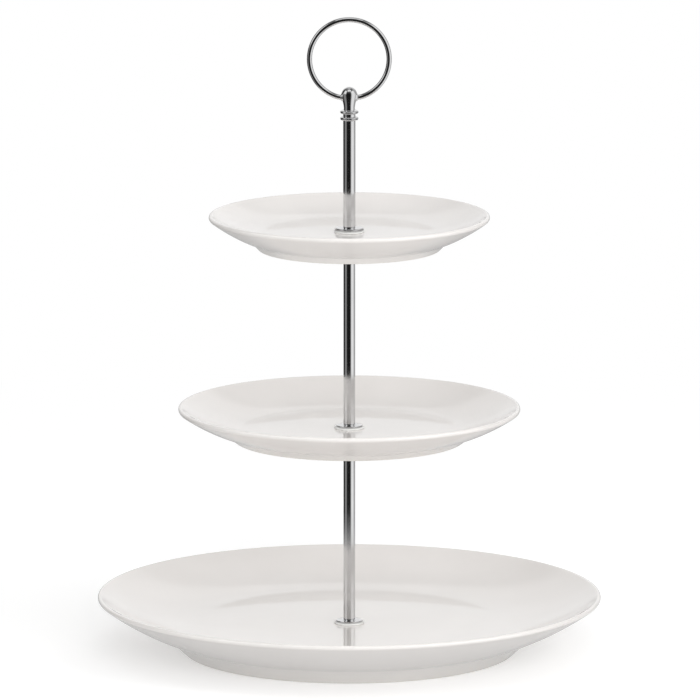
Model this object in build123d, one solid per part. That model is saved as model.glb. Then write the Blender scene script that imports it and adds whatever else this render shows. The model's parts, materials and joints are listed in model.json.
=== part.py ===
from build123d import *
import os
from dataclasses import dataclass
from math import asin, cos, degrees, radians, sin, sqrt, tan

# Three-tier cake stand: three porcelain plates threaded on a column of chromed rods,
# with a lifting ring on top. Millimetres, +Z up, the table at z = 0, the column on the Z axis.
# Each plate is clamped between two soft gaskets. A rod screws down on the stud of the rod
# below it, so the stand comes apart for washing, tier by tier.

os.makedirs("parts", exist_ok=True)


@dataclass
class Tier:
    """One plate, and the disc that the rod above it stands on."""
    name: str
    rim_d: float         # widest diameter, over the lip
    height: float        # foot to the top of the lip
    well_depth: float    # top of the lip down to the flat of the well
    well_d: float        # flat of the well
    floor: float         # thickness of the floor
    foot_height: float   # foot up to the heel, where the wall starts
    heel_d: float        # outside of the foot ring at the heel
    foot_d: float        # outside of the foot ring at the table
    lip_in: float        # slope of the inner wall where it meets the lip, degrees
    lip_out: float       # slope of the outer wall where it meets the lip, degrees
    heel_slope: float    # slope of the outer wall where it leaves the heel, degrees
    flange_d: float      # disc under the rod's foot
    flange_rim: float    # thickness of the disc at its edge
    flange_hub: float    # thickness of the disc at the rod

    @property
    def well_z(self):
        """Height of the well over the plate's own foot."""
        return self.height - self.well_depth

    @property
    def under_z(self):
        """Height of the floor's underside over the plate's own foot."""
        return self.well_z - self.floor


tiers = [
    Tier("bottom", 270.0, 30.0, 16.0, 162.0, 5.2, 8.3, 196.0, 178.0, 33.0, 36.0, 21.0, 14.3, 0.9, 1.5),
    Tier("middle", 183.0, 18.0, 11.9, 114.0, 4.6, 3.6, 132.0, 123.0, 29.0, 34.0, 18.5, 14.1, 0.9, 1.5),
    Tier("top", 150.0, 18.2, 9.2, 88.0, 4.5, 3.6, 104.0, 97.0, 31.0, 36.0, 22.0, 15.4, 1.5, 1.9),
]

# Porcelain that every plate shares
lip_r = 1.3              # round of the lip, half its thickness
heel_run = 3.0           # straight stretch of wall before the heel's corner
heel_r = 1.4             # glaze-filled corner between wall and foot ring
foot_w = 4.0             # width of the foot ring at the table
foot_edge_r = 0.9        # rounds on the foot ring
foot_lean = 0.8          # the foot ring's inner side widens by this on its way up
foot_root_r = 1.2        # corner between foot ring and underside
hole_r = 4.0             # hole through the middle of each plate
hole_edge_r = 0.4

# Column
rod_d = 6.3              # lower and upper rods
rod_length = 97.5
handle_rod_d = 6.6
handle_rod_length = 57.5
rod_top_edge = 0.3       # chamfer round the top of each rod

# M4 thread: studs, the base screw and the finial's stem
thread_crest_r = 1.95
thread_root_r = 1.55
thread_pitch = 0.7
thread_clearance = 0.1   # radial, crest to bore
engagement = 10.0        # length of thread held in the rod above
stud_grip = 10.0         # length of stud fixed in the rod below
tap_spare = 3.0          # bore past the end of the thread

# Spigot on each rod's foot, which keeps the flange captive and free to turn
spigot_r = 2.85
spigot_clearance = 0.1   # radial, spigot to flange
spigot_lip = 0.4         # the flared end stands out this far
spigot_lip_t = 0.3
spigot_play = 0.05       # axial play of the flange
flange_recess = 0.6      # depth of the flange's recess round the flared end
hub_w = 0.9              # flat of the flange's hub that shows round the rod
flange_roll = 0.42       # round on the flange's edge, as a share of its thickness there

# Soft gaskets and the washers that back them
gasket_d = 16.0          # seen round the flange
gasket_t = 1.0
gasket_bore_r = 3.6
under_gasket_d = 15.0
collar_clearance = 0.3   # radial, the gasket's collar to the plate's hole
collar_length = 3.0
bore_clearance = 0.35    # radial, thread crest to gasket collar and washers
under_washer_d = 13.0
under_washer_t = 1.0
base_washer_d = 14.0
base_washer_t = 1.2

# Button-head base screw
head_d = 7.6
head_h = 2.2
head_rim_t = 0.3         # straight side under the crown
head_flat_d = 5.0        # flat round the socket
crown_bulge = 0.35       # how far the crown stands over a straight slope
socket_af = 2.5          # hexagon socket, across flats
socket_depth = 1.3

# Finial, with heights measured from the ring's pivot
dome_r = 4.15
dome_rise = 1.4          # centre of the dome over the pivot
waist_r = 2.95           # narrowest part of the head, just over the beads
waist_drop = 5.6
flare_drop = 3.3         # where the head has begun to widen
flare_r = 3.1
bead_r = 4.85            # both beads, over their edge
bead_edge_half = 0.7     # half the thickness of a bead at its edge
bead_edge_r = 0.75       # rounds of that edge, which nearly meet
bead_root_r = 0.2
bead_half = 1.0          # half the thickness of a bead at its root
bead_pitch = 3.5
collar_drop = 12.4       # pivot down to the finial's seat on the rod
collar_r = 3.3           # neck between the beads
seat_edge_r = 0.1        # round where the finial meets the rod
boss_r = 2.0             # bosses that the ring's pins enter
boss_half = 4.4          # pivot centre to the boss's face
boss_edge = 0.4
stem_length = 8.0

# Lifting ring
ring_r = 21.2            # centreline of the hoop
wire_r = 1.4
bend_r = 6.0             # small bends beside the head
pin_r = 0.95
pin_clearance = 0.1      # radial, pin to cross hole
pin_gap = 0.5            # half the gap between the pins' ends
shoulder_gap = 0.1       # boss face to the wire's shoulder


def spun(*curves):
    """Turn a half section, drawn as radius and height, about the column's axis."""
    return revolve(Plane.XZ * make_face(Curve() + list(curves)), Axis.Z)


def washer(outer_r, inner_r, thickness):
    """A plain ring standing on z = 0."""
    outline = Polyline((inner_r, 0), (outer_r, 0), (outer_r, thickness), (inner_r, thickness), close=True)
    return spun(outline)


def threaded_bar(length):
    """A bar standing on z = 0, its thread drawn as a row of V grooves."""
    points = [(0, 0), (thread_root_r, 0)]
    for turn in range(int(length / thread_pitch)):
        start = turn * thread_pitch
        points.append((thread_crest_r, start + thread_pitch / 2))
        points.append((thread_root_r, start + thread_pitch))
    if length - points[-1][1] > 0.01:
        points.append((thread_root_r, length))
    points.append((0, points[-1][1]))
    return spun(Polyline(*points, close=True))


def plate(tier):
    """A coupe plate standing on its foot ring: flat well, rising wall, round lip."""
    lip_x = tier.rim_d / 2 - lip_r
    lip_z = tier.height - lip_r
    inner, outer, heel = radians(tier.lip_in), radians(tier.lip_out), radians(tier.heel_slope)

    # The lip is an arc that both walls run into without a corner.
    lip_start = (lip_x - lip_r * sin(inner), lip_z + lip_r * cos(inner))
    lip_middle = (lip_x + lip_r * cos(radians(45)), lip_z + lip_r * sin(radians(45)))
    lip_end = (lip_x + lip_r * sin(outer), lip_z - lip_r * cos(outer))
    lip = ThreePointArc(lip_start, lip_middle, lip_end)

    # The inner wall leaves the flat well level and reaches the lip at its own slope.
    turn_x = lip_start[0] - (lip_start[1] - tier.well_z) / tan(inner)
    inner_wall = Bezier((tier.well_d / 2, tier.well_z), (turn_x, tier.well_z), lip_start)

    # The outer wall bellies between the lip and the heel.
    heel_point = (tier.heel_d / 2, tier.foot_height)
    wall_foot = (heel_point[0] + heel_run * cos(heel), heel_point[1] + heel_run * sin(heel))
    belly_x = (wall_foot[1] - lip_end[1] + lip_end[0] * tan(outer) - wall_foot[0] * tan(heel)) / (
        tan(outer) - tan(heel))
    belly_z = wall_foot[1] + (belly_x - wall_foot[0]) * tan(heel)
    outer_wall = Bezier(lip_end, (belly_x, belly_z), wall_foot)

    # Heel, foot ring, underside and hole.
    foot_out = tier.foot_d / 2
    foot_in = foot_out - foot_w
    underside = FilletPolyline(
        wall_foot, heel_point, (foot_out, 0), (foot_in, 0), (foot_in - foot_lean, tier.under_z),
        (hole_r, tier.under_z), (hole_r, tier.well_z), (tier.well_d / 2, tier.well_z),
        radius=[heel_r, foot_edge_r, foot_edge_r, foot_root_r, hole_edge_r, hole_edge_r])
    return spun(inner_wall, lip, outer_wall, underside)


def flange(tier, rod_diameter):
    """Dished disc under a rod's foot, recessed below for the rod's flared spigot."""
    bore = spigot_r + spigot_clearance
    recess = spigot_r + spigot_lip + spigot_clearance
    hub = rod_diameter / 2 + hub_w
    outline = make_face(Polyline(
        (recess, 0), (tier.flange_d / 2, 0), (tier.flange_d / 2, tier.flange_rim),
        (hub, tier.flange_hub), (bore, tier.flange_hub), (bore, flange_recess), (recess, flange_recess),
        close=True))
    edge = outline.vertices().sort_by(Axis.X)[-2:]
    return revolve(Plane.XZ * fillet(edge, flange_roll * tier.flange_rim), Axis.Z)


def rod(diameter, length, tier, top_bore):
    """A rod whose shoulder stands on z = 0 and whose spigot reaches down through the flange."""
    neck = tier.flange_hub - flange_recess + spigot_play
    tip = -neck - spigot_lip_t
    bore = thread_crest_r + thread_clearance
    outer = diameter / 2
    return spun(Polyline(
        (bore, tip), (spigot_r + spigot_lip, tip), (spigot_r + spigot_lip, -neck), (spigot_r, -neck),
        (spigot_r, 0), (outer, 0), (outer, length - rod_top_edge), (outer - rod_top_edge, length),
        (bore, length), (bore, length - top_bore), (0, length - top_bore),
        (0, engagement + tap_spare), (bore, engagement + tap_spare), close=True))


def collared_gasket():
    """Soft gasket under a plate, with a collar that centres the thread in the plate's hole."""
    bore = thread_crest_r + bore_clearance
    collar = hole_r - collar_clearance
    return spun(Polyline(
        (bore, 0), (under_gasket_d / 2, 0), (under_gasket_d / 2, gasket_t), (collar, gasket_t),
        (collar, gasket_t + collar_length), (bore, gasket_t + collar_length), close=True))


def base_screw(length):
    """Button-head screw, its thread standing on z = 0 and its head below."""
    rim = (head_d / 2, -head_rim_t)
    flat = (head_flat_d / 2, -head_h)
    crown = SagittaArc(rim, flat, crown_bulge)
    head = spun(Polyline(flat, (0, -head_h), (0, 0), (head_d / 2, 0), rim), crown)
    across_corners = socket_af / cos(radians(30))
    socket = Pos(0, 0, -head_h) * extrude(RegularPolygon(across_corners / 2, 6), socket_depth)
    return head + threaded_bar(length) - socket


def finial():
    """Turned head with two beads below and a cross hole for the ring, pivot at the origin."""
    low_bead = -collar_drop + bead_half
    high_bead = low_bead + bead_pitch
    beads = FilletPolyline(
        (0, -collar_drop), (collar_r, -collar_drop),
        (bead_r, low_bead - bead_edge_half), (bead_r, low_bead + bead_edge_half),
        (collar_r, low_bead + bead_half), (collar_r, high_bead - bead_half),
        (bead_r, high_bead - bead_edge_half), (bead_r, high_bead + bead_edge_half),
        (waist_r, high_bead + bead_half), (waist_r, -waist_drop),
        radius=[seat_edge_r, bead_edge_r, bead_edge_r, bead_root_r,
                bead_root_r, bead_edge_r, bead_edge_r, bead_root_r])
    side = Bezier(
        (waist_r, -waist_drop), (flare_r, -flare_drop), (dome_r, -dome_rise / 2), (dome_r, dome_rise))
    crown = dome_rise + dome_r
    slant = dome_r * cos(radians(45))
    dome = ThreePointArc((dome_r, dome_rise), (slant, dome_rise + slant), (0, crown))
    head = spun(beads, side, dome, Line((0, crown), (0, -collar_drop)))
    bosses = Cylinder(boss_r, 2 * boss_half)
    bosses = Rot(0, 90, 0) * chamfer(bosses.edges().filter_by(GeomType.CIRCLE), boss_edge)
    cross_hole = Rot(0, 90, 0) * Cylinder(pin_r + pin_clearance, 4 * boss_half)
    stem = Pos(0, 0, -collar_drop - stem_length) * threaded_bar(stem_length)
    return head + bosses + stem - cross_hole


def lifting_ring():
    """Hoop of wire, stood up in the XZ plane, its two turned-down pins on the X axis."""
    shoulder = boss_half + shoulder_gap
    reach = ring_r - bend_r
    centre_z = bend_r + sqrt(reach ** 2 - shoulder ** 2)
    join_x = ring_r * shoulder / reach
    join_z = centre_z - ring_r * (centre_z - bend_r) / reach
    half_bend = asin(shoulder / reach) / 2
    knee_x = shoulder + bend_r * sin(half_bend)
    knee_z = bend_r - bend_r * cos(half_bend)
    right_bend = ThreePointArc((shoulder, 0), (knee_x, knee_z), (join_x, join_z))
    hoop = ThreePointArc((join_x, join_z), (0, centre_z + ring_r), (-join_x, join_z))
    left_bend = ThreePointArc((-join_x, join_z), (-knee_x, knee_z), (-shoulder, 0))
    path = Plane.XZ * (Curve() + [right_bend, hoop, left_bend])
    section = Plane(origin=(shoulder, 0, 0), z_dir=(1, 0, 0)) * Circle(wire_r)
    pin_length = shoulder - pin_gap
    pins = [Pos(side * (shoulder - pin_length / 2), 0, 0) * Rot(0, 90, 0) * Cylinder(pin_r, pin_length)
            for side in (1, -1)]
    return sweep(section, path=path.wires()[0]) + pins[0] + pins[1]


nodes = {}


def put(name, shape, z):
    """Keep a piece under its node name, raised to its place on the column."""
    nodes[name] = Pos(0, 0, z) * shape


# The base screw comes up through the bottom plate, with its washer and gasket under the floor.
bottom = tiers[0]
gasket_z = bottom.under_z - gasket_t
washer_z = gasket_z - base_washer_t
screw_length = base_washer_t + gasket_t + bottom.floor + gasket_t + bottom.flange_hub + engagement
put("base_gasket", collared_gasket(), gasket_z)
put("base_washer", washer(base_washer_d / 2, thread_crest_r + bore_clearance, base_washer_t), washer_z)
put("base_screw", base_screw(screw_length), washer_z)

# Each tier carries a rod, and each rod but the last carries the next tier on its stud.
rods = [
    ("lower_rod", rod_d, rod_length, stud_grip),
    ("upper_rod", rod_d, rod_length, stud_grip),
    ("handle_rod", handle_rod_d, handle_rod_length, stem_length),
]
plate_z = 0.0
for index, (tier, (rod_name, diameter, length, top_bore)) in enumerate(zip(tiers, rods)):
    put(tier.name + "_plate", plate(tier), plate_z)
    well_z = plate_z + tier.well_z
    flange_z = well_z + gasket_t
    foot_z = flange_z + tier.flange_hub
    rod_top = foot_z + length
    put(tier.name + "_gasket", washer(gasket_d / 2, gasket_bore_r, gasket_t), well_z)
    put(tier.name + "_flange", flange(tier, diameter), flange_z)
    put(rod_name, rod(diameter, length, tier, top_bore), foot_z)
    if index + 1 < len(tiers):
        above = tiers[index + 1]
        stack = under_washer_t + gasket_t + above.floor + gasket_t + above.flange_hub
        stud = threaded_bar(stud_grip + stack + engagement)
        put(rod_name.replace("rod", "stud"), stud, rod_top - stud_grip)
        put(above.name + "_under_washer",
            washer(under_washer_d / 2, thread_crest_r + bore_clearance, under_washer_t), rod_top)
        put(above.name + "_under_gasket", collared_gasket(), rod_top + under_washer_t)
        plate_z = rod_top + under_washer_t + gasket_t - above.under_z

pivot_z = rod_top + collar_drop
put("finial", finial(), pivot_z)
put("handle_ring", lifting_ring(), pivot_z)

for name, shape in nodes.items():
    export_step(shape, "parts/" + name + ".step")

ring_top = pivot_z + bend_r + sqrt((ring_r - bend_r) ** 2 - (boss_half + shoulder_gap) ** 2) + ring_r
swing = 180 - degrees(asin((handle_rod_d / 2 + wire_r) / (ring_top - pivot_z)))
turns = int(engagement / thread_pitch - 1.5)
print(len(nodes), "nodes; overall height", round(ring_top + wire_r, 2))
print("pivot z", round(pivot_z, 3), "ring swings", round(swing, 1), "degrees each way")
print("a rod unscrews", turns, "turns and lifts", round(turns * thread_pitch, 2))
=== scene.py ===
# %% [markdown]
# # A three-tier cake stand
# Three white porcelain plates are threaded on a column of chromed rods, and a wire ring on top
# lifts the lot. Nearly every piece was made by turning: plates on a potter's wheel, rods and
# discs on a lathe. So this lesson builds one lathe, out of Geometry Nodes, and feeds it outlines.
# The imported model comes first. It fixes where every piece is and how it moves.

# %% Load the frame
import json
from math import atan2, cos, pi, radians, sin, sqrt, tan
import bmesh
import bpy
import numpy as np
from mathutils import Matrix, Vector


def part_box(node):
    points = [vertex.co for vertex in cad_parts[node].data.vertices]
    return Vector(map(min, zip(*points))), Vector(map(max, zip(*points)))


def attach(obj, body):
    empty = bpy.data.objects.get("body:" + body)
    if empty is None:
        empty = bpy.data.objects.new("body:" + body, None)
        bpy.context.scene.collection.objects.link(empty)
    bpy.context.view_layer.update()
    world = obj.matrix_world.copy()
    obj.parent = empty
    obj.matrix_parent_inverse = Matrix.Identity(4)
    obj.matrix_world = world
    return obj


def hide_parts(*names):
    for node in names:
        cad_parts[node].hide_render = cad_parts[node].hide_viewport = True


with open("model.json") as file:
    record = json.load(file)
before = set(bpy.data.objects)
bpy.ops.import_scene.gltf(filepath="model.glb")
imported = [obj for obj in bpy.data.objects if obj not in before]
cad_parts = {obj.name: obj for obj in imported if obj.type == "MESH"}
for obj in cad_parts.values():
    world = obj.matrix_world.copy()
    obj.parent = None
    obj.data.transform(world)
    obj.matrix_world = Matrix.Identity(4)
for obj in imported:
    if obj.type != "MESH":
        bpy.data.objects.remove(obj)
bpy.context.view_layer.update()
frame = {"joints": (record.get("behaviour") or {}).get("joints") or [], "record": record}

MM = 0.001

# %% [markdown]
# ## Where things are
# A box round a node says where it lies. The tiers are alike, so a small helper reads one node's
# lowest and highest corner, and everything below is measured from such boxes.

# %% Reading places from the frame
TIERS = ("bottom", "middle", "top")
RODS = {"bottom": "lower_rod", "middle": "upper_rod", "top": "handle_rod"}
RECORD = frame["record"]
BODY_OF = {node: body for body, nodes in RECORD["behaviour"]["bodies"].items() for node in nodes}
SLOT_OF = {part["node"]: part["material_slot"] for part in RECORD["subparts"]}
JOINTS = {joint["name"]: joint for joint in frame["joints"]}


def low(node):
    """Height of a node's lowest point."""
    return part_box(node)[0][2]


def high(node):
    """Height of a node's highest point."""
    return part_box(node)[1][2]


def radius(node):
    """Half a node's width, for anything turned about the column."""
    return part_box(node)[1][0]


pivot_z = JOINTS["ring_swing"]["pos_m"][2]
for tier in TIERS:
    print(tier, "plate: radius", round(radius(tier + "_plate") / MM, 1), "mm, foot at",
          round(low(tier + "_plate") / MM, 1), "mm")

# %% [markdown]
# ## The camera
# The stand is seen from a little above, at about eleven degrees, from across a room. A long lens
# keeps the three rims nearly the same shape, as a product picture does.

# %% Camera
def add_object(name, data):
    """A new object in the scene."""
    made = bpy.data.objects.new(name, data)
    bpy.context.collection.objects.link(made)
    return made


CAMERA_DISTANCE = 5.3       # along the floor from the column
CAMERA_HEIGHT = 1.135
AIM_HEIGHT = 0.1631         # the point of the column at the middle of the picture
FIELD = 0.3743              # width of the view at the column
SHIFT = 0.001               # moves the picture sideways, as a share of its width
FAR = 60.0                  # nothing beyond this is drawn
camera = add_object("camera", bpy.data.cameras.new("camera"))
bpy.context.scene.camera = camera
camera.location = (0, -CAMERA_DISTANCE, CAMERA_HEIGHT)
aim = Vector((0, 0, AIM_HEIGHT)) - camera.location
camera.rotation_euler = aim.to_track_quat("-Z", "Y").to_euler()
camera.data.lens = camera.data.sensor_width * aim.length / FIELD
camera.data.shift_x = SHIFT
camera.data.clip_end = FAR
print("lens", round(camera.data.lens), "mm")

# %% [markdown]
# ## A helper for node trees
# Shaders and Geometry Nodes are wired the same way: make a node, set its options, then give each
# input a value or a link. One helper does all three, so the trees below read like recipes.

# %% One node in one line
def node(tree, kind, inputs=None, **options):
    """Add a node, set its options, and link or set its inputs."""
    made = tree.nodes.new(kind)
    for name, value in options.items():
        setattr(made, name, value)
    for name, value in (inputs or {}).items():
        if isinstance(value, bpy.types.NodeSocket):
            tree.links.new(value, made.inputs[name])
        else:
            made.inputs[name].default_value = value
    return made


def calc(tree, operation, *values):
    """A Math node's result."""
    return node(tree, "ShaderNodeMath", dict(enumerate(values)), operation=operation).outputs[0]


def times(tree, first, second):
    """The product of two numbers."""
    return calc(tree, "MULTIPLY", first, second)


def blend_colour(tree, factor, first, second):
    """Mix two colours."""
    mix = node(tree, "ShaderNodeMix", {0: factor, 6: first, 7: second}, data_type="RGBA")
    return mix.outputs[2]


def smooth_step(tree, value, start, stop):
    """0 below start, 1 above stop, smooth between."""
    ramp = node(tree, "ShaderNodeMapRange", {"Value": value, "From Min": start, "From Max": stop},
                interpolation_type="SMOOTHSTEP")
    return ramp.outputs["Result"]


def fade_out(tree, value, start, stop):
    """1 below start, 0 above stop, smooth between."""
    return calc(tree, "SUBTRACT", 1.0, smooth_step(tree, value, start, stop))


def split(tree, vector):
    """The X, Y and Z of a vector."""
    return node(tree, "ShaderNodeSeparateXYZ", {0: vector}).outputs


def coordinates(tree, kind="Object"):
    """Where the shaded point is, in the object's own frame or as a direction."""
    return node(tree, "ShaderNodeTexCoord").outputs[kind]


def group(name, inputs, outputs):
    """An empty shader group with float inputs and outputs, and its two end nodes."""
    tree = bpy.data.node_groups.new(name, "ShaderNodeTree")
    for label, value in inputs.items():
        socket = tree.interface.new_socket(label, in_out="INPUT", socket_type="NodeSocketFloat")
        socket.default_value = value
    for label in outputs:
        tree.interface.new_socket(label, in_out="OUTPUT", socket_type="NodeSocketFloat")
    return tree, tree.nodes.new("NodeGroupInput").outputs, tree.nodes.new("NodeGroupOutput")


def use(tree, shared, **inputs):
    """The result of a shared group, its inputs given by name."""
    return node(tree, "ShaderNodeGroup", inputs, node_tree=shared).outputs[0]


print("helpers for trees:", [made.__name__ for made in (node, calc, smooth_step, fade_out, group, use)])

# %% [markdown]
# ## The room that the metal sees
# Polished metal shows only what stands round it. In this studio a bright window is on the right, a
# dimmer one on the left, white paper is behind the stand, and the room is dark towards the camera,
# which draws the dark line down the middle of a chromed rod. The floor and the world both ask the
# same small group how bright the room is in one direction.

# %% Brightness of the room by direction
# Bearings are in degrees round the stand, 0 towards the camera and positive to the right.
# Heights are the Z of a direction: 0 at the horizon, 1 straight up.
RIGHT_WINDOW = (66, 18, 48)         # middle, and how far from it the edge starts and ends
LEFT_WINDOW = (-72, 12, 30)
LEFT_WINDOW_LOW = 0.26              # brightness of the left window below its sill
LEFT_SILL = (0.1, 0.3)              # heights over which it comes up to full brightness
SIDE_WALL = (60, 110)               # a pale wall on the right begins between these bearings
SIDE_WALL_LEVEL = 0.45
WINDOW_TOP = (0.70, 0.85)           # heights at which the windows end
PAPER_SIDE = (128, 164)             # the paper behind the stand begins between these bearings
PAPER_LOW_LEVEL = 0.45
PAPER_STANDING_LEVEL = 0.50         # what its upright part adds
PAPER_FOOT = (0.0, 0.1)
PAPER_TOP = (0.52, 0.60)
CEILING_LEVEL = 0.14
CEILING = (0.3, 0.9)
DARKEST = 0.012


def plateau(tree, value, middle, inner, outer):
    """1 round a middle value, falling to 0 at the outer distance. All three are in degrees."""
    gap = calc(tree, "ABSOLUTE", calc(tree, "SUBTRACT", value, radians(middle)))
    return fade_out(tree, gap, radians(inner), radians(outer))


def scaled(tree, value, low, high):
    """Stretch a value from 0 to 1 so that it runs from low to high."""
    return calc(tree, "ADD", low, times(tree, value, high - low))


room, given, result = group("room", {"X": 0.0, "Y": 0.0, "Z": 0.0}, ["Brightness"])
height = given["Z"]
bearing = calc(room, "ARCTAN2", given["X"], times(room, given["Y"], -1.0))
right_window = plateau(room, bearing, *RIGHT_WINDOW)
left_window = plateau(room, bearing, *LEFT_WINDOW)
sill = scaled(room, smooth_step(room, height, *LEFT_SILL), LEFT_WINDOW_LOW, 1.0)
left_window = times(room, left_window, sill)
side_wall = smooth_step(room, bearing, *map(radians, SIDE_WALL))
side_wall = times(room, side_wall, SIDE_WALL_LEVEL)
windows = calc(room, "MAXIMUM", side_wall, calc(room, "MAXIMUM", right_window, left_window))
windows = times(room, windows, fade_out(room, height, *WINDOW_TOP))
standing = smooth_step(room, height, *PAPER_FOOT)
standing = times(room, standing, fade_out(room, height, *PAPER_TOP))
paper_level = scaled(room, standing, PAPER_LOW_LEVEL, PAPER_LOW_LEVEL + PAPER_STANDING_LEVEL)
backdrop = smooth_step(room, calc(room, "ABSOLUTE", bearing), *map(radians, PAPER_SIDE))
backdrop = times(room, backdrop, paper_level)
ceiling = times(room, smooth_step(room, height, *CEILING), CEILING_LEVEL)
level = calc(room, "ADD", calc(room, "MAXIMUM", windows, backdrop), ceiling)
room.links.new(calc(room, "ADD", level, DARKEST), result.inputs["Brightness"])
print("the room's group has", len(room.nodes), "nodes")

# %% [markdown]
# ## The paper under the stand
# A product stands on a sheet of white paper that curves up behind it and is lit so brightly that
# it shows no edge. Here the paper is one flat disc. Close to the stand it is real matt paper, so
# it takes a soft shadow, and further out it fades into a plain glow. Metal and glaze see the room
# instead of the far paper, or every rod would be white all over.

# %% The floor
FLOOR_RADIUS = 9.0
FLOOR_GAP = 0.00005                 # between the paper and the foot ring
FLOOR_SIDES = 128
PAPER = (0.84, 0.84, 0.84, 1)       # the paper as it looks
BOUNCE = (0.45, 0.45, 0.45, 1)      # the paper as a source of light on the stand's undersides
SWEEP = (0.30, 0.80)                # from here to here the paper fades into a plain bright glow
SHEET = (0.20, 0.38)                # shiny surfaces see paper up to here, and the room beyond
GLOW = 0.3                          # the paper is lit a little from below, as on a light table

floor_mesh = bpy.data.meshes.new("floor")
sheet = bmesh.new()
bmesh.ops.create_circle(sheet, cap_ends=True, segments=FLOOR_SIDES, radius=FLOOR_RADIUS)
bmesh.ops.translate(sheet, verts=sheet.verts, vec=(0, 0, -FLOOR_GAP))
sheet.to_mesh(floor_mesh)
sheet.free()
floor = add_object("floor", floor_mesh)
print("floor", 2 * FLOOR_RADIUS, "m across")

# %% The paper's shader
paper = bpy.data.materials.new("paper")
paper.use_nodes = True
tree = paper.node_tree
tree.nodes.clear()
spot = split(tree, coordinates(tree))
across = calc(tree, "POWER", spot["X"], 2)
along = calc(tree, "POWER", spot["Y"], 2)
distance = calc(tree, "SQRT", calc(tree, "ADD", across, along))
path = node(tree, "ShaderNodeLightPath").outputs
seen = times(tree, smooth_step(tree, distance, *SWEEP), path["Is Camera Ray"])
mirrored = times(tree, smooth_step(tree, distance, *SHEET), path["Is Glossy Ray"])
shade = blend_colour(tree, path["Is Camera Ray"], BOUNCE, PAPER)
matt = node(tree, "ShaderNodeBsdfDiffuse", {"Color": shade})
glow = node(tree, "ShaderNodeEmission", {"Strength": GLOW})
table = node(tree, "ShaderNodeAddShader", {0: matt.outputs[0], 1: glow.outputs[0]})
around = node(tree, "ShaderNodeEmission", {"Strength": use(tree, room, X=spot["X"], Y=spot["Y"])})
white = node(tree, "ShaderNodeEmission", {"Strength": 1.0})
surface = node(tree, "ShaderNodeMixShader", {0: mirrored, 1: table.outputs[0], 2: around.outputs[0]})
surface = node(tree, "ShaderNodeMixShader", {0: seen, 1: surface.outputs[0], 2: white.outputs[0]})
from_below = node(tree, "ShaderNodeNewGeometry").outputs["Backfacing"]
from_below = times(tree, from_below, path["Is Camera Ray"])
clear = node(tree, "ShaderNodeBsdfTransparent")
surface = node(tree, "ShaderNodeMixShader", {0: from_below, 1: surface.outputs[0], 2: clear.outputs[0]})
node(tree, "ShaderNodeOutputMaterial", {"Surface": surface.outputs[0]})
floor_mesh.materials.append(paper)
print("paper is clear from below, so that the underside of the stand can be looked at")

# %% [markdown]
# ## Soft light
# White porcelain needs broad, even light. A pale surround does most of it, large lamps on both
# sides shape the walls, and fills in front and behind keep every side of the stand bright. The
# side lamps and the fills are hidden from reflections, because the room above draws those.

# %% Soft light
AMBIENT = 0.56                      # the surround, for everything but reflections
AIM = Vector((0, 0, 0.15))          # the lamps point here
world = bpy.data.worlds.new("studio")
bpy.context.scene.world = world
world.use_nodes = True
tree = world.node_tree
tree.nodes.clear()
path = node(tree, "ShaderNodeLightPath").outputs
way = split(tree, coordinates(tree, "Generated"))
reflected = use(tree, room, X=way["X"], Y=way["Y"], Z=way["Z"])
strength = node(tree, "ShaderNodeMix", {0: path["Is Glossy Ray"], 2: AMBIENT, 3: reflected}).outputs[0]
back = node(tree, "ShaderNodeBackground", {"Color": (1, 1, 1, 1), "Strength": strength})
node(tree, "ShaderNodeOutputWorld", {"Surface": back.outputs[0]})


def soft_box(name, place, width, height, watts, mirrored=True):
    """A rectangular lamp that faces the stand. If mirrored, shiny surfaces show it."""
    lamp = bpy.data.lights.new(name, "AREA")
    lamp.shape = "RECTANGLE"
    lamp.size, lamp.size_y, lamp.energy = width, height, watts
    holder = add_object(name, lamp)
    holder.location = place
    holder.rotation_euler = (AIM - Vector(place)).to_track_quat("-Z", "Y").to_euler()
    holder.visible_glossy = mirrored


soft_box("left_box", (-1.9, -1.0, 1.2), width=1.1, height=1.7, watts=4, mirrored=False)
soft_box("right_box", (1.9, -1.2, 1.3), width=1.1, height=1.7, watts=14, mirrored=False)
soft_box("top_box", (0, -0.7, 2.3), width=1.6, height=1.2, watts=5)
soft_box("front_fill", (0.4, -2.6, 1.0), width=1.8, height=1.2, watts=30, mirrored=False)
soft_box("back_fill", (0.8, 2.5, 1.1), width=1.8, height=1.2, watts=13, mirrored=False)
bpy.context.scene.view_settings.view_transform = "Standard"
print("lamps:", [lamp.name for lamp in bpy.data.lights])

# %% [markdown]
# ## Finishes
# Real surfaces are never one value all over. Fired glaze waves a little, chrome carries fine lines
# from polishing and faint marks from hands. Several materials share these effects, so each is a
# node group with its real size in metres as an input.

# %% A soft random value
NOISE_MIDDLE = {"From Min": 0.3, "From Max": 0.7}       # where most of Blender's noise lies


def spread(tree, noise, given):
    """Stretch the middle of a noise to run from the group's Low to its High."""
    stretched = {"Value": noise.outputs[0], "To Min": given["Low"], "To Max": given["High"]}
    return node(tree, "ShaderNodeMapRange", NOISE_MIDDLE | stretched).outputs["Result"]


mottle, given, result = group("mottle", {"Size": 0.02, "Low": 0.0, "High": 1.0}, ["Value"])
spots = node(mottle, "ShaderNodeTexNoise", {
    "Vector": coordinates(mottle), "Scale": calc(mottle, "DIVIDE", 1.0, given["Size"]), "Detail": 3.0})
mottle.links.new(spread(mottle, spots, given), result.inputs["Value"])
print("mottle takes", list(given.keys()))

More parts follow.
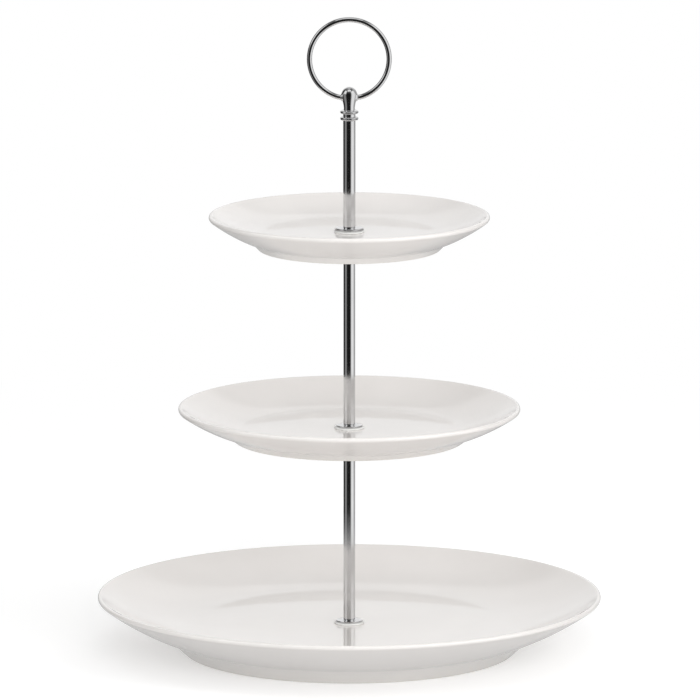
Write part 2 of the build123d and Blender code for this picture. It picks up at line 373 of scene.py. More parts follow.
# %% Fine lines round a turned piece
LINE_DRIFT = 1.5             # how much a line changes on its way round
turning, given, result = group("turning_lines", {"Width": 0.0002, "Low": 0.0, "High": 1.0}, ["Value"])
spot = split(turning, coordinates(turning))
upward = calc(turning, "DIVIDE", spot["Z"], given["Width"])
around = times(turning, calc(turning, "ARCTAN2", spot["Y"], spot["X"]), LINE_DRIFT)
lines = node(turning, "ShaderNodeTexNoise", {
    "Vector": node(turning, "ShaderNodeCombineXYZ", {0: around, 2: upward}).outputs[0],
    "Scale": 1.0, "Detail": 2.0})
turning.links.new(spread(turning, lines, given), result.inputs["Value"])
print("turning lines take", list(given.keys()))

# %% Sparse pinholes and specks
specks, given, result = group("specks", {"Spacing": 0.012, "Size": 0.0003, "Share": 0.3}, ["Mask"])
cells = node(specks, "ShaderNodeTexVoronoi", {
    "Vector": coordinates(specks), "Scale": calc(specks, "DIVIDE", 1.0, given["Spacing"])})
edge = calc(specks, "DIVIDE", given["Size"], given["Spacing"])
core = times(specks, edge, 0.5)
dot = fade_out(specks, cells.outputs["Distance"], core, edge)
chance = node(specks, "ShaderNodeSeparateColor", {0: cells.outputs["Color"]}).outputs[0]
chosen = calc(specks, "LESS_THAN", chance, given["Share"])
specks.links.new(times(specks, dot, chosen), result.inputs["Mask"])
print("shared effects:", [shared.name for shared in bpy.data.node_groups])

# %% [markdown]
# ## Glazed porcelain
# A porcelain plate is a white, slightly warm body under a clear coat of glass. The body is matt,
# the glass is smooth, so the shader is a rough base with a sharp coat over it. In the corner at the
# heel, under the plate, shade is painted in: the colour turns a little greyer there. The foot ring
# stood on the kiln shelf, so it is bare: no coat, and a fine grain. Two attributes on each plate say
# where: one for the bare foot and one for the painted shade.

# %% Porcelain
BODY = ((0.855, 0.825, 0.80, 1), (0.88, 0.85, 0.825, 1))        # glazed clay, from dark to light
# painted shade: the grey that the plate turns in the corner at its heel
HEEL_SHADE = (0.74, 0.74, 0.72, 1)
HEEL_SHADE_STRENGTH = 0.2
SPECK = (0.45, 0.40, 0.34, 1)
SPECK_STRENGTH = 0.25
BISCUIT = ((0.80, 0.77, 0.71, 1), (0.88, 0.86, 0.81, 1))        # bare fired clay
WAVE_DEPTH = 0.0000025
GRAIN_DEPTH = 0.00004
COAT = {"Coat Roughness": 0.035, "Coat IOR": 1.5}


def new_material(name):
    """A material with an empty tree."""
    made = bpy.data.materials.new(name)
    made.use_nodes = True
    made.node_tree.nodes.clear()
    return made, made.node_tree


def attribute(tree, name):
    """A number that a piece carries on its points."""
    return node(tree, "ShaderNodeAttribute", attribute_name=name).outputs["Fac"]


def bump(tree, height, depth, under=None):
    """Real relief, depth metres from lowest to highest."""
    inputs = {"Height": height, "Distance": depth, "Strength": 1.0}
    if under is not None:
        inputs["Normal"] = under
    return node(tree, "ShaderNodeBump", inputs).outputs[0]


porcelain, tree = new_material("glazed_porcelain")
bare = attribute(tree, "bare")
heel_shade = attribute(tree, "heel_shade")
speck = use(tree, specks, Spacing=0.016, Size=0.0003, Share=0.25)
body = blend_colour(tree, use(tree, mottle, Size=0.035), *BODY)
# shade painted into the heel's corner, under the plate
body = blend_colour(tree, times(tree, heel_shade, HEEL_SHADE_STRENGTH), body, HEEL_SHADE)
body = blend_colour(tree, times(tree, speck, SPECK_STRENGTH), body, SPECK)
biscuit = blend_colour(tree, use(tree, mottle, Size=0.0012), *BISCUIT)
colour = blend_colour(tree, bare, body, biscuit)
waves = use(tree, mottle, Size=0.009)
grain = use(tree, mottle, Size=0.0004)
glazed = calc(tree, "SUBTRACT", 1.0, bare)
relief = bump(tree, times(tree, waves, glazed), WAVE_DEPTH)
relief = bump(tree, times(tree, grain, bare), GRAIN_DEPTH, relief)
shader = node(tree, "ShaderNodeBsdfPrincipled", COAT | {
    "Base Color": colour, "Roughness": use(tree, mottle, Size=0.02, Low=0.38, High=0.46),
    "Coat Weight": glazed, "Normal": relief, "Coat Normal": relief})
node(tree, "ShaderNodeOutputMaterial", {"Surface": shader.outputs[0]})
print("porcelain's tree has", len(tree.nodes), "nodes")

# %% [markdown]
# ## Chrome, zinc and silicone
# Chrome plate is a near-perfect mirror, a little cooler than silver. What makes it believable is
# small: faint lines round the rod, and soft patches where it was handled. The studs and the screw
# under the stand are bright zinc, duller and finer in grain. The gaskets are white silicone.

# %% Metals and gaskets
LINE_ROUGHNESS = 0.02        # how much a turned line adds to the roughness


def metal(name, light, dark, polish, patch, line_width, line_depth):
    """A plated metal: colour range, roughness range, and lines left by turning."""
    made, tree = new_material(name)
    marks = use(tree, mottle, Size=patch)
    lines = use(tree, turning, Width=line_width)
    rough = times(tree, lines, LINE_ROUGHNESS)
    rough = calc(tree, "ADD", scaled(tree, marks, *polish), rough)
    shader = node(tree, "ShaderNodeBsdfPrincipled", {
        "Base Color": blend_colour(tree, marks, light, dark), "Metallic": 1.0, "Roughness": rough,
        "Normal": bump(tree, lines, line_depth)})
    node(tree, "ShaderNodeOutputMaterial", {"Surface": shader.outputs[0]})
    return made


chrome = metal("chrome_plate", light=(0.73, 0.73, 0.735, 1), dark=(0.68, 0.68, 0.685, 1),
               polish=(0.06, 0.11), patch=0.012, line_width=0.0003, line_depth=0.0000006)
zinc = metal("bright_zinc", light=(0.62, 0.63, 0.64, 1), dark=(0.50, 0.50, 0.50, 1),
             polish=(0.24, 0.36), patch=0.004, line_width=0.0002, line_depth=0.000004)

# %% Silicone
SILICONE = ((0.80, 0.80, 0.78, 1), (0.88, 0.88, 0.87, 1))
DUST = (0.60, 0.59, 0.56, 1)
DUST_STRENGTH = 0.3
SOFT_LIGHT = {"Subsurface Weight": 0.2, "Subsurface Scale": 0.001, "Subsurface Radius": (1, 1, 1)}
SKIN_DEPTH = 0.00001         # relief of the moulded skin

silicone, tree = new_material("white_silicone")
dust = use(tree, specks, Spacing=0.002, Size=0.0002, Share=0.3)
shade = blend_colour(tree, use(tree, mottle, Size=0.005), *SILICONE)
shade = blend_colour(tree, times(tree, dust, DUST_STRENGTH), shade, DUST)
shader = node(tree, "ShaderNodeBsdfPrincipled", SOFT_LIGHT | {
    "Base Color": shade, "Roughness": use(tree, mottle, Size=0.003, Low=0.42, High=0.55),
    "Normal": bump(tree, use(tree, mottle, Size=0.0003), SKIN_DEPTH)})
node(tree, "ShaderNodeOutputMaterial", {"Surface": shader.outputs[0]})
FINISH = {"porcelain": porcelain, "chrome": chrome, "steel": zinc, "gasket": silicone}
print("finishes:", {slot: made.name for slot, made in FINISH.items()})

# %% [markdown]
# ## Outlines
# A lathe needs only half a section: a loop of points, each a radius and a height. Real edges are
# never razor sharp, so every corner gets a round, however small, and two extra points hold the
# flat faces flat beside it, which keeps the reflections straight.

# %% Rounds and curves for an outline
ROUND_STEP = radians(11)     # largest turn from one point of a round to the next
HOLD = 0.03 * MM             # a holding point is this far from its round, and half the round more
HOLD_LIMIT = 0.3             # but never further than this share of the flat that is left


def rounded(corners, closed=True):
    """Points along a path whose corners are given as (radius, height, rounding)."""
    path = []
    last = len(corners) - 1
    for i, (r, z, rounding) in enumerate(corners):
        here = Vector((r, z))
        if rounding == 0 or (not closed and i in (0, last)):
            path.append(here)
            continue
        back = Vector(corners[i - 1][:2]) - here
        ahead = Vector(corners[(i + 1) % len(corners)][:2]) - here
        half = back.angle(ahead) / 2
        reach = rounding / tan(half)
        flat = min(back.length, ahead.length) - reach
        hold = min(0.5 * rounding + HOLD, HOLD_LIMIT * flat)
        inward = (back.normalized() + ahead.normalized()).normalized()
        centre = here + inward * rounding / sin(half)
        start = here + back.normalized() * reach
        stop = here + ahead.normalized() * reach
        if hold > 0:
            path.append(start + back.normalized() * hold)
        path += arc(centre, start, stop)
        if hold > 0:
            path.append(stop + ahead.normalized() * hold)
    return path


def arc(centre, start, stop, step=ROUND_STEP):
    """Points on the shorter arc from start to stop."""
    first, final = start - centre, stop - centre
    turn = atan2(first.x * final.y - first.y * final.x, first.dot(final))
    count = max(2, int(abs(turn) / step) + 1)
    points = []
    for i in range(count + 1):
        angle = turn * i / count
        points.append(centre + Vector((first.x * cos(angle) - first.y * sin(angle),
                                       first.x * sin(angle) + first.y * cos(angle))))
    return points


def bezier(points, count):
    """A quadratic or cubic Bezier curve, sampled evenly, without its two ends."""
    sampled = []
    for i in range(1, count):
        t = i / count
        layer = [Vector(p) for p in points]
        while len(layer) > 1:
            layer = [a.lerp(b, t) for a, b in zip(layer, layer[1:])]
        sampled.append(layer[0])
    return sampled


print("points in a quarter round:", len(arc(Vector((0, 0)), Vector((1, 0)), Vector((0, 1)))))

# %% [markdown]
# ## The lathe
# Blender's Screw modifier could spin an outline, and so could a spin in edit mode. A Geometry
# Nodes tree does it here, so that every turned piece is one modifier with three inputs: a grid is
# laid out with one row for each outline point and one column for each step round, and every grid
# point is sent to its place. Points that land together, at the seam and on the axis, are merged.

# %% The lathe tree
SEAM = 0.000001              # points nearer than this are one point


def new_tree(name, inputs):
    """A Geometry Nodes tree with named inputs and one output, and its input identifiers."""
    made = bpy.data.node_groups.new(name, "GeometryNodeTree")
    names = {}
    for label, kind in inputs.items():
        socket = made.interface.new_socket(label, in_out="INPUT", socket_type="NodeSocket" + kind)
        names[label] = socket.identifier
    made.interface.new_socket("Piece", in_out="OUTPUT", socket_type="NodeSocketGeometry")
    return made, names, node(made, "NodeGroupInput").outputs


def rolled_grid(made, segments, rows):
    """A grid to wrap round the column, each point's row, and its share of a full turn."""
    grid = node(made, "GeometryNodeMeshGrid", {
        "Vertices X": calc(made, "ADD", segments, 1), "Vertices Y": rows}).outputs["Mesh"]
    index = node(made, "GeometryNodeInputIndex").outputs[0]
    row = calc(made, "MODULO", index, rows)
    column = calc(made, "FLOOR", calc(made, "DIVIDE", index, rows))
    return grid, row, calc(made, "DIVIDE", column, segments)


def wrapped(made, grid, reach, turn, height):
    """Send every point of a grid to its radius, turn and height."""
    angle = times(made, turn, 2 * pi)
    place = node(made, "ShaderNodeCombineXYZ", {
        0: times(made, reach, calc(made, "COSINE", angle)),
        1: times(made, reach, calc(made, "SINE", angle)), 2: height}).outputs[0]
    return node(made, "GeometryNodeSetPosition", {"Geometry": grid, "Position": place}).outputs[0]


def finish_tree(made, mesh, given):
    """Close the seam, shade it smooth, make it real and give it its finish."""
    merged = node(made, "GeometryNodeMergeByDistance", {"Geometry": mesh, "Distance": SEAM}).outputs[0]
    smooth = node(made, "GeometryNodeSetShadeSmooth", {"Geometry": merged}).outputs[0]
    real = node(made, "GeometryNodeRealizeInstances", {"Geometry": smooth}).outputs[0]
    dressed = node(made, "GeometryNodeSetMaterial", {
        "Geometry": real, "Material": given["Finish"]}).outputs[0]
    made.links.new(dressed, node(made, "NodeGroupOutput").inputs["Piece"])


lathe, LATHE_INPUTS, given = new_tree("lathe", {
    "Outline": "Geometry", "Segments": "Int", "Finish": "Material"})
size = node(lathe, "GeometryNodeAttributeDomainSize", {"Geometry": given["Outline"]})
grid, row, turn = rolled_grid(lathe, given["Segments"], size.outputs["Point Count"])
position = node(lathe, "GeometryNodeInputPosition").outputs[0]
drawn = node(lathe, "GeometryNodeSampleIndex", {
    "Geometry": given["Outline"], "Value": position, "Index": row}, data_type="FLOAT_VECTOR")
part = split(lathe, drawn.outputs[0])
finish_tree(lathe, wrapped(lathe, grid, part["X"], turn, part["Z"]), given)
print("lathe inputs:", list(LATHE_INPUTS))

# %% [markdown]
# ## From a modifier to a finished piece
# The tree's result is turned into a plain mesh, its faces are made to point outwards, and the
# piece is tied to the body it moves with. It takes the place of the CAD node of the same name.

# %% Making and registering a piece
def evaluated(source):
    """A plain mesh of an object with its modifiers applied."""
    ready = source.evaluated_get(bpy.context.evaluated_depsgraph_get())
    return bpy.data.meshes.new_from_object(ready)


def baked(source, made, names, **values):
    """Run a tree on an object and return the result as a plain mesh."""
    modifier = source.modifiers.new("tree", "NODES")
    modifier.node_group = made
    for label, value in values.items():
        modifier[names[label]] = value
    bpy.context.view_layer.update()
    mesh = evaluated(source)
    bpy.data.objects.remove(source)
    return mesh


def outward(mesh):
    """Point every face outwards and count the edges that are left open."""
    work = bmesh.new()
    work.from_mesh(mesh)
    bmesh.ops.dissolve_degenerate(work, dist=SEAM, edges=work.edges)
    bmesh.ops.delete(work, geom=[edge for edge in work.edges if not edge.link_faces], context="EDGES")
    bmesh.ops.recalc_face_normals(work, faces=work.faces)
    if work.calc_volume(signed=True) < 0:
        bmesh.ops.reverse_faces(work, faces=work.faces)
    open_edges = sum(1 for edge in work.edges if not edge.is_manifold)
    work.to_mesh(mesh)
    work.free()
    return open_edges


def register(mesh, cad_node, title):
    """Show a mesh in place of a CAD node, riding on the same body."""
    open_edges = outward(mesh)
    piece = add_object(cad_node + "_" + title, mesh)
    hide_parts(cad_node)
    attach(piece, BODY_OF[cad_node])
    print(piece.name, "faces", len(mesh.polygons), "open edges", open_edges)
    return piece


def outline_object(points, closed=True):
    """An object whose points are an outline, in order, in the XZ plane."""
    mesh = bpy.data.meshes.new("outline")
    ring = list(points) + [points[0]] if closed else list(points)
    mesh.from_pydata([(p[0], 0, p[1]) for p in ring], [], [])
    return add_object("outline", mesh)


def turn_on_lathe(cad_node, title, points, segments, closed=True):
    """Turn an outline into the piece that stands for a CAD node."""
    mesh = baked(outline_object(points, closed), lathe, LATHE_INPUTS,
                 Segments=segments, Finish=FINISH[SLOT_OF[cad_node]])
    return register(mesh, cad_node, title)


print("pieces to make:", len(BODY_OF))

# %% [markdown]
# ## The plates
# A coupe plate has no flat rim: the wall rises from the well in one curve. It is pressed from a
# slab of clay between a mould and a turning profile tool, so a lathe is exactly how it is made.
# The lip is a full round, the heel sits on a low foot ring, and a hole is drilled in the middle.

# %% Sizes of the three plates that the boxes don't tell
WELL_RADIUS = {"bottom": 81.0 * MM, "middle": 57.0 * MM, "top": 44.0 * MM}
HEEL_RADIUS = {"bottom": 98.0 * MM, "middle": 66.0 * MM, "top": 52.0 * MM}
FOOT_RADIUS = {"bottom": 89.0 * MM, "middle": 61.5 * MM, "top": 48.5 * MM}
FOOT_HEIGHT = {"bottom": 8.3 * MM, "middle": 3.6 * MM, "top": 3.6 * MM}
LIP_IN = {"bottom": radians(33), "middle": radians(29), "top": radians(31)}
LIP_OUT = {"bottom": radians(36), "middle": radians(34), "top": radians(36)}
HEEL_SLOPE = {"bottom": radians(21), "middle": radians(18.5), "top": radians(22)}
LIP_ROUND = 1.3 * MM
LIP_SPLIT = radians(30)      # the lip's round is drawn in two arcs that meet here
WALL_STEPS = 40              # points along the curved wall, inside
BELLY_STEPS = 28             # and outside
HEEL_RUN = 3.0 * MM
HEEL_ROUND = 1.4 * MM
FOOT_WIDTH = 4.0 * MM
FOOT_ROUND = 0.9 * MM
FOOT_LEAN = 0.8 * MM
FOOT_ROOT = 1.2 * MM
HOLE_RADIUS = 4.0 * MM
HOLE_ROUND = 0.4 * MM
UNDER_GASKET = {"bottom": "base_gasket", "middle": "middle_under_gasket", "top": "top_under_gasket"}
GASKET_THICKNESS = high("bottom_gasket") - low("bottom_gasket")


def plate_outline(tier):
    """Half section of one plate, from the well round the lip to the foot and back."""
    foot, lip_top = low(tier + "_plate"), high(tier + "_plate")
    well = low(tier + "_gasket")
    under = low(UNDER_GASKET[tier]) + GASKET_THICKNESS
    inner, outer, heel_slope = LIP_IN[tier], LIP_OUT[tier], HEEL_SLOPE[tier]
    lip = Vector((radius(tier + "_plate") - LIP_ROUND, lip_top - LIP_ROUND))
    lip_start = lip + LIP_ROUND * Vector((-sin(inner), cos(inner)))
    lip_end = lip + LIP_ROUND * Vector((sin(outer), -cos(outer)))
    lip_side = lip + LIP_ROUND * Vector((cos(LIP_SPLIT), sin(LIP_SPLIT)))
    turn = Vector((lip_start.x - (lip_start.y - well) / tan(inner), well))
    well_edge = Vector((WELL_RADIUS[tier], well))
    heel = Vector((HEEL_RADIUS[tier], foot + FOOT_HEIGHT[tier]))
    wall_foot = heel + HEEL_RUN * Vector((cos(heel_slope), sin(heel_slope)))
    rise = wall_foot.y - lip_end.y + lip_end.x * tan(outer) - wall_foot.x * tan(heel_slope)
    belly_x = rise / (tan(outer) - tan(heel_slope))
    belly = Vector((belly_x, wall_foot.y + (belly_x - wall_foot.x) * tan(heel_slope)))
    foot_in = FOOT_RADIUS[tier] - FOOT_WIDTH
    base = rounded([
        (wall_foot.x, wall_foot.y, 0), (heel.x, heel.y, HEEL_ROUND),
        (FOOT_RADIUS[tier], foot, FOOT_ROUND), (foot_in, foot, FOOT_ROUND),
        (foot_in - FOOT_LEAN, under, FOOT_ROOT), (HOLE_RADIUS, under, HOLE_ROUND),
        (HOLE_RADIUS, well, HOLE_ROUND), (well_edge.x, well_edge.y, 0)], closed=False)
    inside = bezier([well_edge, turn, lip_start], WALL_STEPS)
    outside = bezier([lip_end, belly, wall_foot], BELLY_STEPS)
    return base + inside + arc(lip, lip_start, lip_side) + arc(lip, lip_side, lip_end)[1:] + outside


def paint(mesh, name, values):
    """Keep one number for each point of a mesh."""
    layer = mesh.attributes.new(name, "FLOAT", "POINT")
    layer.data.foreach_set("value", np.asarray(values, dtype=np.float32))


def places(mesh):
    """Radius and height of every point of a mesh about the column."""
    flat = np.empty(3 * len(mesh.vertices), dtype=np.float32)
    mesh.vertices.foreach_get("co", flat)
    points = flat.reshape(-1, 3)
    return np.hypot(points[:, 0], points[:, 1]), points[:, 2]


print("points in a plate's section:", len(plate_outline("bottom")))

# %% Turn the plates
PLATE_SEGMENTS = 240
BARE_HEIGHT = 0.2 * MM       # the foot is bare up to here
GLAZE_EDGE = 0.5 * MM        # and fully glazed this much higher
HEEL_SHADE_REACH = 2.5 * MM
for tier in TIERS:
    plate = turn_on_lathe(tier + "_plate", "glazed", plate_outline(tier), PLATE_SEGMENTS)
    r, z = places(plate.data)
    foot = low(tier + "_plate")
    on_foot = r > FOOT_RADIUS[tier] - 1.5 * FOOT_WIDTH
    paint(plate.data, "bare", np.clip(1 - (z - foot - BARE_HEIGHT) / GLAZE_EDGE, 0, 1) * on_foot)
    # how near each point is to the heel's corner, where shade is painted in
    heel_gap = np.hypot(r - HEEL_RADIUS[tier], z - foot - FOOT_HEIGHT[tier])
    paint(plate.data, "heel_shade", np.clip(1 - heel_gap / HEEL_SHADE_REACH, 0, 1))

# %% [markdown]
# ## Discs and gaskets
# Under each rod's foot is a dished disc that spreads the load, and under the disc a soft ring that
# keeps metal off the glaze. Below, each disc is recessed for the rod's flared spigot, so that it
# stays on the rod. All of these are lathe work, with the small rounds that pressing leaves.

# %% Discs, flat gaskets and washers
SMALL_SEGMENTS = 120
ROD_RADIUS = {"bottom": 3.15 * MM, "middle": 3.15 * MM, "top": 3.3 * MM}
SPIGOT = 2.85 * MM           # the spigot on a rod's foot
SPIGOT_LIP = 0.4 * MM        # its flared end stands out this far
SPIGOT_LIP_HEIGHT = 0.3 * MM
PLAY = 0.1 * MM              # clearance round the spigot
RECESS = 0.6 * MM            # hollow under each disc for the flared end
HUB_FLAT = 0.9 * MM          # flat of the disc seen round the rod
DISC_RIM = {"bottom": 0.9 * MM, "middle": 0.9 * MM, "top": 1.5 * MM}
DISC_ROLL = 0.42             # the round of its edge, as a share of the rim
DISH = 0.12 * MM             # how far the disc's cone sags between hub and edge
DISH_ROUND = 1.5 * MM
HUB_ROUND = 0.25 * MM
TINY = 0.06 * MM             # the round on an edge that is only deburred
GASKET_BORE = 3.6 * MM
SOFT_ROUND = 0.3 * MM        # moulded edges of the gaskets
THREAD_CREST = radius("lower_stud")
WASHER_BORE = THREAD_CREST + 0.35 * MM
WASHER_ROUND = 0.2 * MM


def disc_outline(tier):
    """A dished disc: flat below with a recess, coned above, with a rolled edge."""
    base, top = low(tier + "_flange"), high(tier + "_flange")
    edge = radius(tier + "_flange")
    rim = base + DISC_RIM[tier]
    hub = ROD_RADIUS[tier] + HUB_FLAT
    sag = ((hub + edge) / 2, (top + rim) / 2 - DISH, DISH_ROUND)
    roll = DISC_ROLL * DISC_RIM[tier]
    bore = SPIGOT + PLAY
    recess = bore + SPIGOT_LIP
    return rounded([
        (recess, base, TINY), (edge, base, roll), (edge, rim, roll), sag, (hub, top, HUB_ROUND),
        (bore, top, TINY), (bore, base + RECESS, TINY), (recess, base + RECESS, TINY)])


def ring_outline(cad_node, bore, edge_round):
    """A plain ring as wide and thick as its node."""
    base, top, edge = low(cad_node), high(cad_node), radius(cad_node)
    corners = [(bore, base), (edge, base), (edge, top), (bore, top)]
    return rounded([(r, z, edge_round) for r, z in corners])


for tier in TIERS:
    turn_on_lathe(tier + "_flange", "disc", disc_outline(tier), SMALL_SEGMENTS)
    soft = tier + "_gasket"
    turn_on_lathe(soft, "soft", ring_outline(soft, GASKET_BORE, SOFT_ROUND), SMALL_SEGMENTS)
for washer in ("base_washer", "middle_under_washer", "top_under_washer"):
    turn_on_lathe(washer, "stamped", ring_outline(washer, WASHER_BORE, WASHER_ROUND), SMALL_SEGMENTS)

# %% [markdown]
# The gaskets under the plates have a collar that stands up into the plate's hole and keeps the
# thread in its middle.

# %% Collared gaskets
COLLAR = HOLE_RADIUS - 0.3 * MM     # outside of the collar
for tier in TIERS:
    soft = UNDER_GASKET[tier]
    base, top, edge = low(soft), high(soft), radius(soft)
    step = base + GASKET_THICKNESS
    corners = [(WASHER_BORE, base), (edge, base), (edge, step), (COLLAR, step), (COLLAR, top),
               (WASHER_BORE, top)]
    turn_on_lathe(soft, "soft", rounded([(r, z, SOFT_ROUND) for r, z in corners]), SMALL_SEGMENTS)

# %% [markdown]
# ## The rods
# Each rod is a straight bar, cut to length, drilled and tapped at both ends. Its foot is turned
# down to a spigot with a flared end. The outline runs up the outside and back down the two bores.

# %% Rods
ROD_SEGMENTS = 96
BORE = THREAD_CREST + 0.1 * MM      # drilled for the thread, with its clearance
LOWER_BORE_DEPTH = 13.0 * MM
TOP_BORE_DEPTH = {"bottom": high("lower_rod") - low("lower_stud"),
                  "middle": high("upper_rod") - low("upper_stud"), "top": 8.0 * MM}
SHOULDER_EDGE = 0.12 * MM
ROD_EDGE = 0.3 * MM
for tier in TIERS:
    rod = RODS[tier]
    tip, top, seat, side = low(rod), high(rod), high(tier + "_flange"), ROD_RADIUS[tier]
    lip, lip_top = SPIGOT + SPIGOT_LIP, tip + SPIGOT_LIP_HEIGHT
    bore_top, bore_bottom = seat + LOWER_BORE_DEPTH, top - TOP_BORE_DEPTH[tier]
    turn_on_lathe(rod, "polished", rounded([
        (BORE, tip, TINY), (lip, tip, TINY), (lip, lip_top, TINY), (SPIGOT, lip_top, TINY),
        (SPIGOT, seat, TINY), (side, seat, SHOULDER_EDGE), (side, top, ROD_EDGE), (BORE, top, TINY),
        (BORE, bore_bottom, TINY), (0, bore_bottom, 0), (0, bore_top, 0), (BORE, bore_top, TINY)]),
        ROD_SEGMENTS)

# %% [markdown]
# ## Threads
# A screw thread is a groove that climbs one pitch for every turn. A second tree draws it: a grid
# wrapped round a bar, where the radius of each point depends on how far its height is ahead of
# its angle. The first and last turns fade into the bar, as a die leaves them.

# %% The thread tree
FLANK = (0.03, 0.42)         # shares of a pitch, from the groove's floor to the crest's edge
RUN_OUT = 1.2                # turns over which each end fades into the bar
thread, THREAD_INPUTS, given = new_tree("thread", {
    "Blank": "Geometry", "Base": "Float", "Length": "Float", "Crest": "Float", "Root": "Float",
    "Pitch": "Float", "Rows per turn": "Int", "Segments": "Int", "Finish": "Material"})
turns = calc(thread, "DIVIDE", given["Length"], given["Pitch"])
steps = calc(thread, "CEIL", times(thread, turns, given["Rows per turn"]))
grid, row, turn = rolled_grid(thread, given["Segments"], calc(thread, "ADD", steps, 3))
last = calc(thread, "ADD", steps, 1)
share = node(thread, "ShaderNodeMapRange", {"Value": row, "From Min": 1.0, "From Max": last})
height = times(thread, share.outputs["Result"], given["Length"])
ahead = calc(thread, "SUBTRACT", calc(thread, "DIVIDE", height, given["Pitch"]), turn)
ridge = smooth_step(thread, calc(thread, "PINGPONG", ahead, 0.5), *FLANK)
from_end = calc(thread, "MINIMUM", height, calc(thread, "SUBTRACT", given["Length"], height))
fade = smooth_step(thread, from_end, 0.0, times(thread, given["Pitch"], RUN_OUT))
depth = calc(thread, "SUBTRACT", given["Crest"], given["Root"])
depth = times(thread, depth, times(thread, ridge, fade))
reach = calc(thread, "ADD", given["Root"], depth)
past_first = calc(thread, "GREATER_THAN", row, 0.5)
before_last = calc(thread, "LESS_THAN", row, calc(thread, "ADD", steps, 1.5))
reach = times(thread, reach, times(thread, past_first, before_last))
height = calc(thread, "ADD", given["Base"], height)
finish_tree(thread, wrapped(thread, grid, reach, turn, height), given)
print("thread inputs:", list(THREAD_INPUTS))

# %% Cut the threads
PITCH = 0.7 * MM
THREAD_ROOT = 1.55 * MM
THREAD_SEGMENTS = 48
ROWS_PER_TURN = 10


def cut_thread(base, top, finish=zinc):
    """The mesh of a threaded bar between two heights."""
    blank = add_object("blank", bpy.data.meshes.new("blank"))
    return baked(blank, thread, THREAD_INPUTS, **{
        "Base": base, "Length": top - base, "Crest": THREAD_CREST, "Root": THREAD_ROOT,
        "Pitch": PITCH, "Rows per turn": ROWS_PER_TURN, "Segments": THREAD_SEGMENTS, "Finish": finish})


for stud in ("lower_stud", "upper_stud"):
    register(cut_thread(low(stud), high(stud)), stud, "threaded")

# %% [markdown]
# ## The screw under the stand
# A button-head screw comes up through the bottom plate. Its hexagon socket is made round on the
# lathe, and its points are then pushed out to the six corners: a hexagon's radius at any angle is
# its flat's distance divided by the cosine of the angle from that flat's middle.

# %% Base screw
HEAD_HEIGHT = 2.2 * MM
SOCKET_FLAT = 1.25 * MM
SOCKET_DEPTH = 1.3 * MM
SOCKET_MARGIN = 0.05 * MM    # points this far outside the socket's edge still move with it
FACE_RADIUS = 2.5 * MM       # the head's flat face
FACE_ROUND = 0.9 * MM
BUTTON_HEIGHT = 1.3 * MM     # from the face to the head's widest part
BUTTON_ROUND = 1.0 * MM
HEAD_EDGE = 0.1 * MM


def joined(*meshes):
    """Several meshes as one."""
    work = bmesh.new()
    for mesh in meshes:
        work.from_mesh(mesh)
    whole = meshes[0].copy()
    work.to_mesh(whole)
    work.free()
    return whole


base, side = low("base_screw"), radius("base_screw")
under_head = base + HEAD_HEIGHT
head_outline = rounded([
    (0, base + SOCKET_DEPTH, 0), (SOCKET_FLAT, base + SOCKET_DEPTH, TINY), (SOCKET_FLAT, base, HEAD_EDGE),
    (FACE_RADIUS, base, FACE_ROUND), (side, base + BUTTON_HEIGHT, BUTTON_ROUND),
    (side, under_head, HEAD_EDGE), (0, under_head, 0)], closed=False)
head = baked(outline_object(head_outline, closed=False), lathe, LATHE_INPUTS,
             Segments=SMALL_SEGMENTS, Finish=zinc)
for point in head.vertices:
    reach = sqrt(point.co.x ** 2 + point.co.y ** 2)
    if TINY < reach < SOCKET_FLAT + SOCKET_MARGIN and point.co.z < base + SOCKET_DEPTH + TINY:
        from_flat = atan2(point.co.y, point.co.x) % (pi / 3) - pi / 6
        point.co.x /= cos(from_flat)
        point.co.y /= cos(from_flat)
register(joined(head, cut_thread(under_head, high("base_screw"))), "base_screw", "threaded")

# %% [markdown]
# ## The finial
# The head that carries the ring is one turned piece: two thin beads, a waist and a dome. Two
# bosses swell out of it where the ring's pins go in. They are raised by moving the points near
# the pivot's axis outwards, with a soft edge, which is what a casting would have. The cross hole
# is drilled last, with a boolean cut.

# %% Finial outline
seat = high("handle_rod")
crown = high("finial")
BEAD_RADIUS = 4.85 * MM
BEAD_HALF = 1.0 * MM
BEAD_PITCH = 3.5 * MM
BEAD_EDGE_HALF = 0.7 * MM    # half the thickness at the edge
BEAD_EDGE_ROUND = 0.75 * MM
BEAD_ROOT_ROUND = 0.2 * MM
COLLAR_RADIUS = 3.3 * MM
COLLAR_EDGE = 0.1 * MM
WAIST_RADIUS = 2.95 * MM
WAIST_DROP = 5.6 * MM        # from the pivot down to the waist's end
FLARE_RADIUS = 3.1 * MM
FLARE_DROP = 3.3 * MM
DOME_RADIUS = 4.15 * MM
SHOULDER_DROP = 0.7 * MM
FLARE_STEPS = 44
FINE_STEP = radians(3)       # largest turn between points of the dome and of the ring's bends
dome_z = crown - DOME_RADIUS
low_bead = seat + BEAD_HALF
high_bead = low_bead + BEAD_PITCH
waist_z = pivot_z - WAIST_DROP


def bead_edge(middle):
    """The two outer corners of a bead."""
    return [(BEAD_RADIUS, middle + side * BEAD_EDGE_HALF, BEAD_EDGE_ROUND) for side in (-1, 1)]


